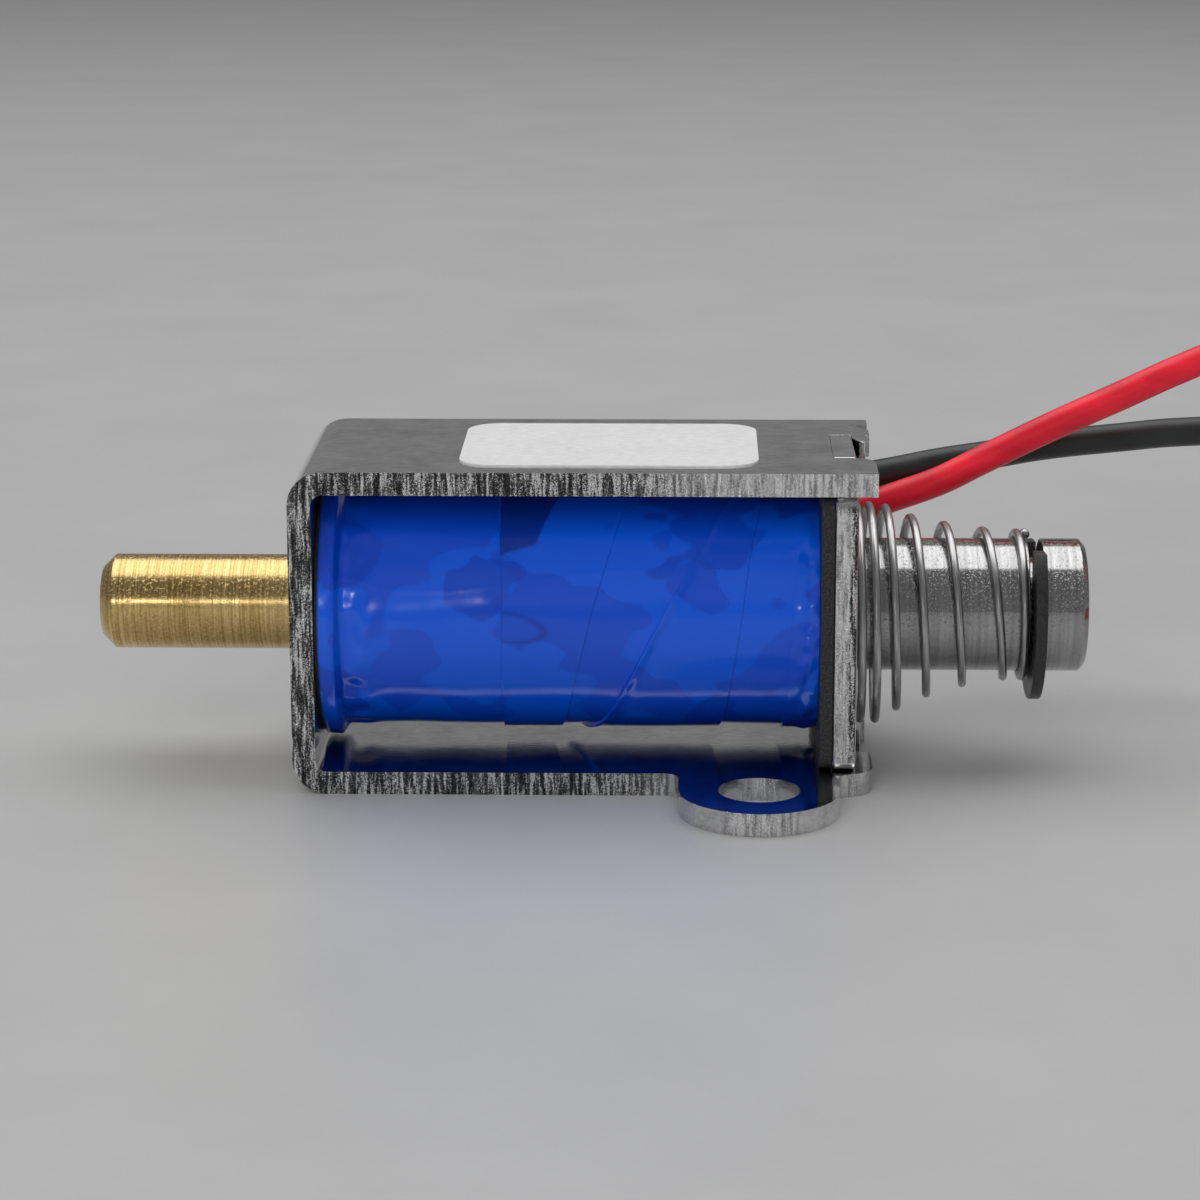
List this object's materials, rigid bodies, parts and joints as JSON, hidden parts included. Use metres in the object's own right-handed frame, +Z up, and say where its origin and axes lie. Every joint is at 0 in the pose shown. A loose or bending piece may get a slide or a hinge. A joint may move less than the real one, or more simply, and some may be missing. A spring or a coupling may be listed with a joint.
{
  "type": "push pull solenoid",
  "caption": "Open-frame push pull solenoid: a sprung plunger slides in a taped coil, pulls at one end and pushes a brass rod out of the other.",
  "frame": {"origin": "middle of the frame's underside, the face that it stands on", "axes": "+X along the plunger towards its pull end, +Z up from the mounting face, +Y to the back, where the leads come out"},
  "size_m": [0.1238, 0.0282, 0.022],
  "materials": {
    "frame_steel": "zinc-nickel plated pressed sheet, satin faces, bright die-rolled edges",
    "plate_steel": "zinc-nickel plated pressed sheet with sheared edge",
    "bobbin_plastic": "black moulded, slightly grainy",
    "copper_wire": "enamelled copper wire",
    "blue_tape": "glossy polyester tape over wire",
    "tube_brass": "drawn brass",
    "core_steel": "turned steel",
    "plunger_nickel": "bright nickel plated steel",
    "rod_brass": "turned brass with fine drawing marks",
    "clip_black": "black oxide",
    "spring_steel": "drawn stainless wire",
    "label_foil": "silver grey sticker, blank",
    "sleeve_black": "heat-shrink sleeve",
    "lead_red": "semi-gloss PVC insulation",
    "lead_black": "semi-gloss PVC insulation",
    "tie_black": "thin plastic tie",
    "tinned_copper": "tinned strands"
  },
  "bodies": {
    "housing": {"frame": "frame_steel", "end_plate": "plate_steel", "bobbin": "bobbin_plastic", "coil_winding": "copper_wire", "tape_wrap": "blue_tape", "splice_tape": "blue_tape", "guide_tube": "tube_brass", "pole_piece": "core_steel", "return_spring": "spring_steel", "rating_label": "label_foil", "red_sleeve": "sleeve_black", "black_sleeve": "sleeve_black", "red_lead": "lead_red", "black_lead": "lead_black", "red_coil": "lead_red", "black_coil": "lead_black", "red_tie": "tie_black", "black_tie": "tie_black", "red_tip": "tinned_copper", "black_tip": "tinned_copper"},
    "armature": {"plunger": "plunger_nickel", "push_rod": "rod_brass", "retaining_clip": "clip_black"}
  },
  "joints": [
    {"name": "plunger_slide", "type": "slide", "parent": "housing", "child": "armature", "axis": [-1, 0, 0], "range_m": [0, 0.006], "stiffness_N_per_m": 80, "deforming": ["return_spring"]}
  ]
}
